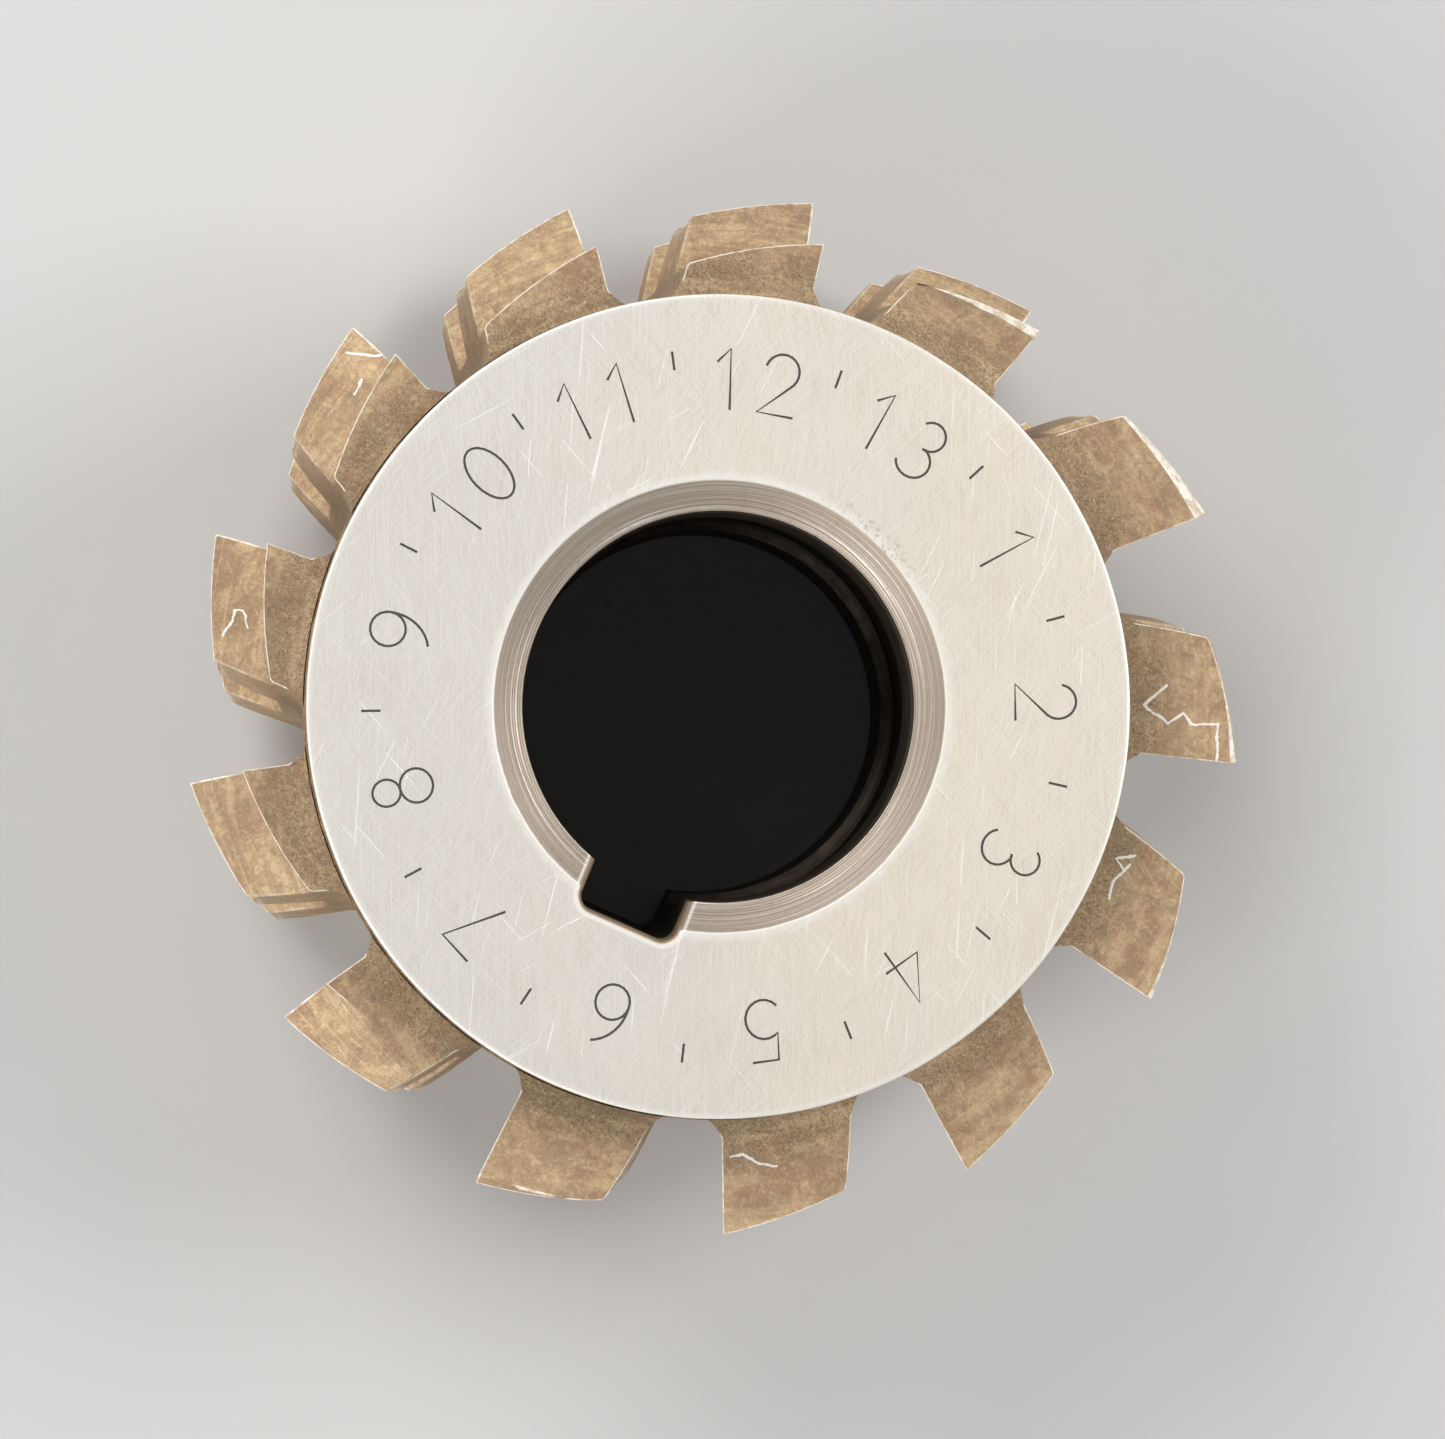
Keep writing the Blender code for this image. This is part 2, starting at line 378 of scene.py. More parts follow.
def numeral_strokes(digit):
    """Single strokes of a digit in a box 0.6 wide and 1 high."""
    six = arc(0.62, 0.36, 0.60, 0.66, 108, 176, 8) + arc(0.30, 0.29, 0.28, 0.29, 180, 540, 20)
    strokes = {
        "0": [arc(0.30, 0.50, 0.29, 0.50, 90, 450, 24)],
        "1": [[(0.10, 0.78), (0.32, 1.0), (0.32, 0.0)]],
        "2": [arc(0.30, 0.71, 0.28, 0.29, 168, -38) + [(0.0, 0.0), (0.60, 0.0)]],
        "3": [arc(0.29, 0.76, 0.24, 0.24, 150, -90), arc(0.29, 0.27, 0.29, 0.27, 84, -150)],
        "4": [[(0.44, 0.0), (0.44, 1.0), (0.0, 0.30), (0.62, 0.30)]],
        "5": [[(0.55, 1.0), (0.12, 1.0), (0.08, 0.56)] + arc(0.28, 0.32, 0.30, 0.32, 118, -142)],
        "6": [six],
        "7": [[(0.0, 1.0), (0.60, 1.0), (0.18, 0.0)]],
        "8": [arc(0.30, 0.77, 0.22, 0.23, 90, 450, 20), arc(0.30, 0.27, 0.28, 0.27, 90, 450, 22)],
        "9": [[(0.60 - x, 1.0 - y) for x, y in six]],
    }
    return strokes[digit]


def number_strokes(text, angle):
    """A number's strokes on the hub face, in metres, with the digits' tops outwards."""
    advance = NUMERAL_WIDTH * NUMERAL_HEIGHT + NUMERAL_GAP
    strokes = []
    for place, digit in enumerate(text):
        shift = (place - (len(text) - 1) / 2) * advance
        middle = angle - shift / (NUMERAL_BASE + NUMERAL_HEIGHT / 2)
        out = Vector((math.cos(middle), math.sin(middle), 0.0))
        along = Vector((math.sin(middle), -math.cos(middle), 0.0))
        for stroke in numeral_strokes(digit):
            points = []
            for x, y in stroke:
                sideways = along * (NUMERAL_HEIGHT * (x - NUMERAL_WIDTH / 2))
                points.append(out * (NUMERAL_BASE + NUMERAL_HEIGHT * y) + sideways)
            strokes.append(points)
    return strokes


def engraving_strokes():
    """The row numbers, and a short tick midway between each two."""
    strokes = []
    for row in range(ROWS):
        angle = FIRST_FACE_ANGLE - row * ROW_PITCH + NUMERAL_LEAD
        strokes += number_strokes(str(row + 1), angle)
        between = angle - ROW_PITCH / 2
        out = Vector((math.cos(between), math.sin(between), 0.0))
        strokes.append([out * TICK_RADII[0], out * TICK_RADII[1]])
    return strokes


def engraving_cutter():
    """Thin tubes along the strokes, just deep enough to leave shallow round grooves."""
    curve = bpy.data.curves.new("engraving", "CURVE")
    curve.dimensions = "3D"
    curve.bevel_depth = CUT_RADIUS
    curve.bevel_resolution = 1
    curve.use_fill_caps = True
    for stroke in engraving_strokes():
        spline = curve.splines.new("POLY")
        closed = (stroke[0] - stroke[-1]).length < CLOSED_GAP
        points = stroke[:-1] if closed else stroke
        spline.points.add(len(points) - 1)
        for target, point in zip(spline.points, points):
            target.co = (point.x, point.y, LENGTH + CUT_LIFT, 1.0)
        spline.use_cyclic_u = closed
    tubes = new_object("engraving_curve", curve)
    graph = bpy.context.evaluated_depsgraph_get()
    mesh = bpy.data.meshes.new_from_object(tubes.evaluated_get(graph))
    bpy.data.objects.remove(tubes, do_unlink=True)
    bm = bmesh.new()
    bm.from_mesh(mesh)
    bmesh.ops.remove_doubles(bm, verts=bm.verts[:], dist=WELD)
    return mesh_object("engraving_cutter", bm)


# ---------------------------------------------------------------- rows of teeth


def thread_line(row):
    """(depth, height above the root, is an edge) along a row's cutting face."""
    line = []
    row_start = THREAD_START + row * TOOTH_SPACING / ROWS
    for turn in range(-1, 3):
        start = row_start + turn * TOOTH_SPACING
        line += [(start + along, up, edge) for along, up, edge in TOOTH_SIDE]
        line += [(start + TOOTH_WIDTH - along, up, edge) for along, up, edge in TOOTH_SIDE[::-1]]
    return line


def height_at(line, depth):
    for (before, low, _), (after, high, _) in zip(line, line[1:]):
        if before <= depth <= after:
            return low + (high - low) * (depth - before) / (after - before)
    return 0.0


def trimmed_line(row):
    """The thread's line over the toothed length, with the thin start ground to a slant."""
    line = thread_line(row)
    if row in START_EDGE:
        edge, depth = START_EDGE[row], 0.0
        while edge + START_SLANT * depth < height_at(line, depth):
            depth += START_STEP
        ridge = (depth, height_at(line, depth), True)
        rest = [knot for knot in line if knot[0] > depth + START_STEP]
        line = [(-OVERRUN, edge, False), (0.0, edge, False), ridge] + rest
    first, last = -OVERRUN, FRONT_END - REAR_END + OVERRUN
    inside = [knot for knot in line if first < knot[0] < last]
    return [(first, height_at(line, first), False), *inside, (last, height_at(line, last), False)]


def step_towards(point, other, distance):
    """The (depth, height) at a distance from point towards other, at most 45% of the way."""
    length = math.hypot(other[0] - point[0], other[1] - point[1])
    share = min(0.45, distance / length)
    return point[0] + (other[0] - point[0]) * share, point[1] + (other[1] - point[1]) * share


def row_sections(row):
    """(depth, height, wear) of the sections: edges chamfered, long stretches divided."""
    line = trimmed_line(row)
    worn = []
    for k, point in enumerate(line):
        if point[2]:
            for other in (line[k - 1], line[k + 1]):
                pair = [
                    (*step_towards(point, other, WEAR_REACH), 0.0),
                    (*step_towards(point, other, EDGE_CHAMFER), 1.0),
                ]
                worn += pair if other is line[k - 1] else pair[::-1]
        else:
            worn.append((point[0], point[1], 0.0))
    if row in START_EDGE:
        ridge = next(depth for depth, _, edge in line if edge)
        worn = [(depth, up, 1.0 if depth <= ridge else bare) for depth, up, bare in worn]
    sections = [worn[0]]
    for after in worn[1:]:
        before = sections[-1]
        parts = max(1, math.ceil((after[0] - before[0]) / SECTION_STEP))
        for part in range(1, parts + 1):
            share = part / parts
            sections.append(tuple(a + (b - a) * share for a, b in zip(before, after)))
    return sections


def row_outline(height):
    """(angle behind the face, radius, own wear, is on the land) round a row's section. At the heel
    corners that value is a painted highlight.
    """
    top = ROOT_RADIUS + height
    gap = CREST_HEEL_RADIUS + SLOPE_FALL * CREST_HEEL_ANGLE - top
    heel = gap / (SLOPE_FALL - RELIEF_DROP)
    keen = LEAST_WEAR + (1.0 - LEAST_WEAR) * min(1.0, height / MM)
    chamfer, reach = EDGE_CHAMFER / top, WEAR_REACH / top
    points = [(chamfer, top, keen, 1.0), (reach, top - RELIEF_DROP * reach, 0.0, 1.0)]
    last = heel - 2 * HEEL_ROUND / top
    for step in range(1, LAND_STEPS + 1):
        behind = reach + (last - reach) * step / LAND_STEPS
        points.append((behind, top - RELIEF_DROP * behind, 0.0, 1.0))
    before = heel - HEEL_ROUND / top
    points.append((before, top - RELIEF_DROP * before, HEEL_HIGHLIGHT * keen, 1.0))
    heel_radius = top - RELIEF_DROP * heel
    slope = (SLOPE_FOOT_ANGLE - heel, SLOPE_FOOT_RADIUS - heel_radius)
    run = math.hypot(slope[0] * top, slope[1])
    share = HEEL_ROUND / run
    after = (heel + slope[0] * share, heel_radius + slope[1] * share)
    points.append((*after, HEEL_HIGHLIGHT * keen, 0.0))
    for step in range(1, SLOPE_STEPS + 1):
        share = 0.10 + 0.90 * step / SLOPE_STEPS
        points.append((heel + slope[0] * share, heel_radius + slope[1] * share, 0.0, 0.0))
    drop = SLOPE_FOOT_RADIUS - FOOT_RADIUS
    for step in range(1, FILLET_STEPS + 1):
        share = step / FILLET_STEPS
        radius = FOOT_RADIUS + drop * (1 - share) ** 2
        points.append((SLOPE_FOOT_ANGLE + GASH_FILLET_ANGLE * share, radius, 0.0, 0.0))
    end = SLOPE_FOOT_ANGLE + GASH_FILLET_ANGLE
    for share in (0.25, 0.5, 0.75):
        points.append((end - (end + FACE_FILLET_ANGLE) * share, FOOT_RADIUS, 0.0, 0.0))
    for step in range(FILLET_STEPS):
        share = 1 - step / FILLET_STEPS
        radius = FOOT_RADIUS + FACE_FILLET_HEIGHT * (1 - share) ** 2
        points.append((-FACE_FILLET_ANGLE * share, radius, 0.0, 0.0))
    low, high = FOOT_RADIUS + FACE_FILLET_HEIGHT, top - WEAR_REACH
    points += [(0.0, low + (high - low) * share, 0.0, 0.0) for share in (0.0, 0.35, 0.7, 1.0)]
    points.append((0.0, top - EDGE_CHAMFER, keen, 1.0))
    return points


def ring_points(row, depth, height, ridge):
    """One section's (point, wear and painted heel highlight). Behind the face its points follow the
    thread and rise.
    """
    face_height = FRONT_END - depth
    face = FIRST_FACE_ANGLE - row * ROW_PITCH + GASH_TWIST * depth
    points = []
    for behind, radius, own, on_land in row_outline(height):
        turn = behind / TWIST_SHARE
        angle = face + turn
        wear = max(own, ridge * on_land)
        where = (radius * math.cos(angle), radius * math.sin(angle))
        rise = AXIAL_PITCH * turn / math.tau
        if wear > 0.5:
            place = [c * NICKS_PER_METRE for c in (*where, face_height + rise)]
            radius -= NICK_DEPTH * max(0.0, wobble(*place) - NICK_START) * own
            where = (radius * math.cos(angle), radius * math.sin(angle))
        points.append(((*where, face_height + rise), wear))
    return points


def corners(faces):
    return {vert for face in faces for vert in face.verts}


def square_off(bm, wear, height, keep_below):
    """Cuts the loft at an end plane, closes the cut and breaks its bare, keen edges."""
    way = 1.0 if keep_below else -1.0
    for vert in bm.verts:
        if abs(vert.co.z - height) < CAP_SNAP:
            vert.co.z = height
    cut = bmesh.ops.bisect_plane(
        bm,
        geom=bm.verts[:] + bm.edges[:] + bm.faces[:],
        dist=WELD,
        plane_co=(0.0, 0.0, height),
        plane_no=(0.0, 0.0, way),
        clear_outer=True,
    )
    edges = [item for item in cut["geom_cut"] if isinstance(item, bmesh.types.BMEdge)]
    caps = bmesh.ops.contextual_create(bm, geom=edges)["faces"]
    bmesh.ops.recalc_face_normals(bm, faces=bm.faces[:])
    rim = bmesh.ops.inset_region(bm, faces=caps, thickness=CAP_CHAMFER, use_even_offset=True)
    rim = set(rim["faces"])
    outer = corners(rim) - corners(caps)
    bmesh.ops.inset_region(bm, faces=caps, thickness=CAP_WEAR, use_even_offset=True)
    bm.normal_update()
    for vert in outer:
        exposed = math.hypot(vert.co.x, vert.co.y) > FOOT_RADIUS + FOOT_COVER
        sides = [face for face in vert.link_faces if face not in rim]
        keen = all(abs(face.normal.z) < SHALLOW for face in sides)
        vert[wear] = 1.0 if exposed and keen else 0.0
    for vert in corners(rim) - outer:
        near = [edge.other_vert(vert) for edge in vert.link_edges]
        vert[wear] = max([other[wear] for other in near if other in outer], default=0.0)
    for vert in outer:
        vert.co.z -= way * CAP_CHAMFER * vert[wear]
    for vert in corners(caps):
        vert[wear] = 0.0


def tooth_row(row):
    """One relieved row of teeth, lofted along the gash."""
    bm = bmesh.new()
    # The wear layer also carries the painted highlight at the heel corners.
    wear = bm.verts.layers.float.new("wear")
    rings = []
    for depth, height, ridge in row_sections(row):
        ring = []
        for point, amount in ring_points(row, depth, height, ridge):
            vert = bm.verts.new(point)
            vert[wear] = amount
            ring.append(vert)
        rings.append(ring)
    loft(bm, rings)
    square_off(bm, wear, FRONT_END, keep_below=True)
    square_off(bm, wear, REAR_END, keep_below=False)
    return mesh_object(f"teeth_{row + 1:02d}", bm, TOOTH_SMOOTH_ANGLE)


# ---------------------------------------------------------------- materials


class Look:
    """Builds one material's nodes. Values are numbers or output sockets; lengths are in mm."""

    def __init__(self, name):
        self.material = bpy.data.materials.new(name)
        self.material.use_nodes = True
        self.tree = self.material.node_tree
        self.shader = self.tree.nodes["Principled BSDF"]
        coordinates = self.tree.nodes.new("ShaderNodeTexCoord")
        self.place = self.vector("MULTIPLY", coordinates.outputs["Object"], (1 / MM,) * 3)
        split = self.tree.nodes.new("ShaderNodeSeparateXYZ")
        self.feed(split.inputs[0], self.place)
        self.x, self.y, self.z = split.outputs
        self.radius = self.hypotenuse(self.x, self.y)
        self.angle = self.math("ARCTAN2", self.y, self.x)

    def feed(self, socket, value):
        if isinstance(value, bpy.types.NodeSocket):
            self.tree.links.new(value, socket)
        else:
            socket.default_value = value

    def math(self, operation, a, b=0.0, clamp=False):
        node = self.tree.nodes.new("ShaderNodeMath")
        node.operation = operation
        node.use_clamp = clamp
        self.feed(node.inputs[0], a)
        self.feed(node.inputs[1], b)
        return node.outputs[0]

    def plus(self, a, b, clamp=False):
        return self.math("ADD", a, b, clamp)

    def minus(self, a, b):
        return self.math("SUBTRACT", a, b)

    def times(self, a, b):
        return self.math("MULTIPLY", a, b)

    def over(self, a, b):
        return self.math("DIVIDE", a, b)

    def higher(self, a, b):
        return self.math("MAXIMUM", a, b)

    def lower(self, a, b):
        return self.math("MINIMUM", a, b)

    def hypotenuse(self, a, b):
        return self.math("SQRT", self.plus(self.times(a, a), self.times(b, b)))

    def vector(self, operation, a, b=(0.0, 0.0, 0.0)):
        node = self.tree.nodes.new("ShaderNodeVectorMath")
        node.operation = operation
        self.feed(node.inputs[0], a)
        self.feed(node.inputs[1], b)
        return node.outputs["Value" if operation in ("DOT_PRODUCT", "LENGTH") else "Vector"]

    def away_from(self, place, start, end):
        """Distance from a place to the straight line between two flat points."""
        step = (end[0] - start[0], end[1] - start[1])
        span = step[0] ** 2 + step[1] ** 2
        offset = self.vector("SUBTRACT", place, (*start, 0.0))
        share = self.vector("DOT_PRODUCT", offset, (step[0] / span, step[1] / span, 0.0))
        share = self.math("MULTIPLY", share, 1.0, clamp=True)
        nearest = self.vector("MULTIPLY", share, (*step, 0.0))
        return self.vector("LENGTH", self.vector("SUBTRACT", offset, nearest))

    def turned(self, angle, stretch):
        """The place turned about the axis by an angle, then stretched along X, Y and Z."""
        node = self.tree.nodes.new("ShaderNodeVectorRotate")
        node.rotation_type = "Z_AXIS"
        self.feed(node.inputs["Vector"], self.place)
        node.inputs["Angle"].default_value = angle
        return self.vector("MULTIPLY", node.outputs[0], stretch)

    def combine(self, x, y, z):
        node = self.tree.nodes.new("ShaderNodeCombineXYZ")
        for socket, value in zip(node.inputs, (x, y, z)):
            self.feed(socket, value)
        return node.outputs[0]

    def noise(self, scale, detail=2.0, roughness=0.5, distortion=0.0, place=None, offset=0.0):
        node = self.tree.nodes.new("ShaderNodeTexNoise")
        start = self.place if place is None else place
        self.feed(node.inputs["Vector"], self.vector("ADD", start, (offset, offset, offset)))
        node.inputs["Scale"].default_value = scale
        node.inputs["Detail"].default_value = detail
        node.inputs["Roughness"].default_value = roughness
        node.inputs["Distortion"].default_value = distortion
        return node.outputs[0]

    def ramp(self, value, low, high, start=0.0, end=1.0):
        """Smoothly from start, at low and below, to end, at high and above."""
        node = self.tree.nodes.new("ShaderNodeMapRange")
        node.interpolation_type = "SMOOTHSTEP"
        node.inputs[1].default_value = low
        node.inputs[2].default_value = high
        node.inputs[3].default_value = start
        node.inputs[4].default_value = end
        self.feed(node.inputs[0], value)
        return node.outputs[0]

    def band(self, value, middle, half):
        """1 at the middle and 0 a half-width away."""
        away = self.math("ABSOLUTE", self.math("SUBTRACT", value, middle))
        return self.ramp(away, 0.0, half, 1.0, 0.0)

    def mix(self, amount, a, b, blend="MIX"):
        node = self.tree.nodes.new("ShaderNodeMix")
        node.data_type = "RGBA"
        node.blend_type = blend
        self.feed(node.inputs[0], amount)
        self.feed(node.inputs[6], a if isinstance(a, bpy.types.NodeSocket) else (*a, 1.0))
        self.feed(node.inputs[7], b if isinstance(b, bpy.types.NodeSocket) else (*b, 1.0))
        return node.outputs[2]

    def attribute(self, name):
        node = self.tree.nodes.new("ShaderNodeAttribute")
        node.attribute_name = name
        return node.outputs["Fac"]

    def scratches(self, angle, along, across, low, high, offset=0.0):
        """Fine straight scratches: noise drawn out along one direction."""
        stretched = self.turned(angle, (1.0 / along, 1.0 / across, 1.0 / along))
        return self.ramp(self.noise(1.0, 1.0, place=stretched, offset=offset), low, high)

    def bump(self, height, strength, distance, normal=None):
        node = self.tree.nodes.new("ShaderNodeBump")
        node.inputs["Strength"].default_value = strength
        node.inputs["Distance"].default_value = distance * MM
        self.feed(node.inputs["Height"], height)
        if normal is not None:
            self.feed(node.inputs["Normal"], normal)
        return node.outputs[0]

    def finish(self, colour, roughness, normal, metallic):
        self.feed(self.shader.inputs["Base Color"], colour)
        self.feed(self.shader.inputs["Roughness"], roughness)
        self.feed(self.shader.inputs["Normal"], normal)
        self.shader.inputs["Metallic"].default_value = metallic
        return self.material


FACE_WARM = (0.86, 0.785, 0.675)
FACE_COOL = (0.77, 0.745, 0.695)
FACE_PALE = (0.97, 0.95, 0.90)
FACE_DULL = (0.56, 0.505, 0.43)
SCRATCH_PALE = (1.0, 0.99, 0.96)
CUT_GREY = (0.13, 0.12, 0.11)
MOUTH_BROWN = (0.43, 0.360, 0.295)
MOUTH_LIGHT = (0.68, 0.61, 0.53)
WALL_BROWN = (0.36, 0.265, 0.18)
BORE_BROWN = (0.11, 0.085, 0.062)
BORE_DARK = (0.045, 0.036, 0.028)
RELIEF_DARK = (0.040, 0.033, 0.026)
TOOTH_TAN = (0.55, 0.392, 0.236)
TOOTH_RED = (0.40, 0.250, 0.150)
TOOTH_GOLD = (0.74, 0.570, 0.340)
TOOTH_GREY = (0.31, 0.235, 0.152)
TOOTH_DARK = (0.16, 0.120, 0.082)
SIDE_TAN = (0.50, 0.42, 0.32)
EDGE_BRIGHT = (0.96, 0.90, 0.80)
RESIDUE = (0.95, 0.92, 0.86)

# The materials work in mm. These are the sizes at which their finishes change
HUB, MOUTH, BORE = HUB_RADIUS / MM, MOUTH_RADIUS / MM, BORE_RADIUS / MM
RELIEF, ROOT, FRONT = RELIEF_RADIUS / MM, ROOT_RADIUS / MM, FRONT_END / MM

# Residue: rows with thin bent lines, each bend as (mm behind the cutting face, radius in mm)
RESIDUE_LINES = {
    1: (
        ((4.9, 31.4), (3.4, 29.8), (2.3, 31.5), (3.1, 32.6), (2.4, 33.2), (2.6, 35.0), (0.0, 35.1)),
    ),
    2: (((7.8, 31.0), (6.9, 29.8), (6.4, 30.6), (7.0, 30.8), (5.4, 30.2), (4.2, 30.4)),),
    4: (
        ((0.6, 31.2), (1.4, 31.0), (2.6, 31.8), (3.8, 32.1)),
        ((1.8, 36.2), (2.9, 35.9), (3.8, 35.8)),
    ),
    8: (((7.1, 34.7), (5.8, 34.1), (5.1, 34.1), (4.9, 33.5), (5.9, 33.0)),),
    9: (
        ((2.2, 35.8), (0.9, 34.2), (0.0, 33.6)),
        ((2.7, 33.7), (3.8, 33.4)),
        ((3.5, 32.3), (4.5, 32.0)),
    ),
}


def ground_marks(look):
    """The hub face's crossed grinding marks, from 0 to 1, each direction in its own areas."""
    marks = look.scratches(math.radians(66), 8.0, 0.10, 0.50, 0.72)
    for angle, offset in ((80, 7.0), (52, 13.0), (116, 29.0), (22, 37.0), (96, 43.0)):
        more = look.scratches(math.radians(angle), 7.0, 0.10, 0.52, 0.74, offset)
        area = look.ramp(look.noise(0.08, 1.0, offset=offset), 0.42, 0.58, 0.10, 1.0)
        marks = look.higher(marks, look.times(more, area))
    return marks


def long_scratches(look):
    """A few longer, deeper handling scratches."""
    found = look.scratches(math.radians(80), 11.0, 0.17, 0.755, 0.785, 41.0)
    for angle, offset in ((70, 53.0), (93, 67.0), (25, 71.0), (128, 83.0)):
        more = look.scratches(math.radians(angle), 9.0, 0.15, 0.765, 0.795, offset)
        found = look.higher(found, more)
    return found


def face_colour(look, below, marks, deep):
    """Ground steel, warmer to one side, with marks, a pale rim and a pale halo at the mouth."""
    side = look.plus(look.times(look.x, 0.91), look.times(look.y, 0.41))
    drift = look.times(look.noise(0.06, 2.0), 60.0)
    warm = look.ramp(look.plus(side, drift), 8.0, 52.0)
    face = look.mix(warm, FACE_COOL, FACE_WARM)
    shade = look.ramp(look.noise(0.09, 2.0, 0.5, offset=11.0), 0.35, 0.70, 0.0, 0.10)
    face = look.mix(shade, face, FACE_DULL)
    for angle, offset in ((62, 91.0), (78, 97.0), (112, 101.0), (30, 103.0)):
        hatch = look.scratches(math.radians(angle), 5.0, 0.09, 0.46, 0.74, offset)
        face = look.mix(look.times(hatch, 0.27), face, FACE_DULL)
    face = look.mix(look.times(marks, 0.52), face, FACE_PALE)
    face = look.mix(look.times(deep, 0.90), face, SCRATCH_PALE)
    ragged = look.plus(look.radius, look.times(look.noise(1.1, 4.0, 0.6), 1.0))
    face = look.mix(look.ramp(ragged, MOUTH + 0.6, MOUTH + 1.3, 0.60, 0.0), face, FACE_PALE)
    face = look.mix(look.ramp(look.radius, HUB - 0.55, HUB - 0.10, 0.0, 0.50), face, FACE_PALE)
    corner = look.band(look.angle, math.radians(71.0), math.radians(22.0))
    pits = look.times(look.ramp(look.noise(2.6, 4.0, 0.7, offset=7.0), 0.54, 0.60), corner)
    pits = look.times(pits, look.ramp(look.radius, MOUTH + 0.6, MOUTH + 1.4, 1.0, 0.0))
    face = look.mix(look.times(pits, 0.65), face, MOUTH_BROWN)
    cut = look.times(look.ramp(below, 0.004, 0.014), look.ramp(look.radius, 18.0, 18.4))
    cut = look.times(cut, look.ramp(look.radius, 26.8, 27.0, 1.0, 0.0))
    return look.mix(cut, face, CUT_GREY)


def mouth_colour(look):
    """The turned chamfer: matt and brown outside, striped with bright tool marks inside."""
    across = look.combine(
        look.times(look.radius, 8.0),
        look.times(look.x, 0.07),
        look.times(look.y, 0.07),
    )
    stripes = look.noise(1.0, 3.0, 0.6, place=across)
    bright = look.ramp(stripes, 0.42, 0.66)
    inner = look.ramp(look.radius, BORE + 0.2, MOUTH - 0.6, 1.0, 0.30)
    colour = look.mix(look.times(bright, inner), MOUTH_BROWN, MOUTH_LIGHT)
    keen = look.times(look.ramp(stripes, 0.60, 0.70), inner)
    colour = look.mix(look.times(keen, 0.8), colour, FACE_PALE)
    stain = look.ramp(look.noise(1.8, 4.0, 0.7, offset=77.0), 0.52, 0.72, 0.0, 0.45)
    return look.mix(stain, colour, TOOTH_RED)


def keyway_rim(look, colour, below):
    """Pale rounded rim round the keyway, and brown walls that painted shade darkens downwards."""
    wide = look.minus(look.math("ABSOLUTE", look.x), KEYWAY_WIDTH / 2 / MM)
    high = look.minus(look.times(look.y, -1.0), KEYWAY_FLOOR / MM)
    corner = KEYWAY_CORNER / MM
    wide = look.higher(look.plus(wide, corner), 0.0)
    high = look.higher(look.plus(high, corner), 0.0)
    away = look.minus(look.hypotenuse(wide, high), corner)
    on_side = look.ramp(look.y, -1.0, 0.0, 1.0, 0.0)
    on_side = look.times(on_side, look.ramp(look.radius, BORE - 0.3, BORE - 0.1))
    near = look.times(look.band(away, 0.47, 0.20), on_side)
    slope = MOUTH_DEPTH / (MOUTH_RADIUS - BORE_RADIUS)
    surface = look.times(look.minus(MOUTH, look.radius), slope)
    under = look.minus(below, look.higher(surface, 0.0))
    wall = look.times(look.ramp(away, 0.26, 0.42, 1.0, 0.0), on_side)
    colour = look.mix(look.times(wall, look.ramp(under, 0.0, 0.08)), colour, WALL_BROWN)
    pale = look.times(near, look.ramp(under, 0.10, 0.45, 0.9, 0.0))
    colour = look.mix(pale, colour, FACE_PALE)
    # Painted shade: the keyway's walls fade towards near black with depth below the face.
    return look.mix(look.times(wall, look.ramp(under, 1.50, 9.0)), colour, BORE_DARK)


def hub_look():
    """Ground face, turned mouth, dark bore and plain outer side in one steel."""
    look = Look("ground_hub_steel")
    below = look.lower(look.minus(LENGTH / MM, look.z), look.z)
    marks, deep = ground_marks(look), long_scratches(look)
    on_face = look.ramp(look.radius, MOUTH - 0.08, MOUTH + 0.06)
    colour = look.mix(on_face, mouth_colour(look), face_colour(look, below, marks, deep))
    colour = keyway_rim(look, colour, below)
    land = look.ramp(look.radius, BORE + 0.02, BORE + 0.10, 1.0, 0.0)
    in_bore = look.times(land, look.ramp(below, MOUTH_DEPTH / MM, MOUTH_DEPTH / MM + 0.1))
    colour = look.mix(in_bore, colour, BORE_BROWN)
    outside = look.ramp(look.radius, HUB - 0.15, HUB - 0.03)
    outside = look.times(outside, look.ramp(below, 0.25, 0.6))
    turning = look.combine(look.times(look.z, 7.0), look.angle, 0.0)
    turning = look.ramp(look.noise(1.0, 4.0, 0.7, place=turning), 0.3, 0.7)
    side = look.mix(turning, SIDE_TAN, FACE_DULL)
    stain = look.ramp(look.noise(0.9, 5.0, 0.7, offset=33.0), 0.45, 0.75, 0.0, 0.35)
    side = look.mix(stain, side, TOOTH_GREY)
    colour = look.mix(outside, colour, side)
    roughness = look.minus(0.55, look.times(marks, 0.06))
    grain = look.minus(look.times(marks, -0.5), deep)
    normal = look.bump(grain, 0.40, 0.012)
    normal = look.bump(look.noise(7.0, 2.0, 0.6), 0.12, 0.01, normal)
    return look.finish(colour, roughness, normal, 0.55)


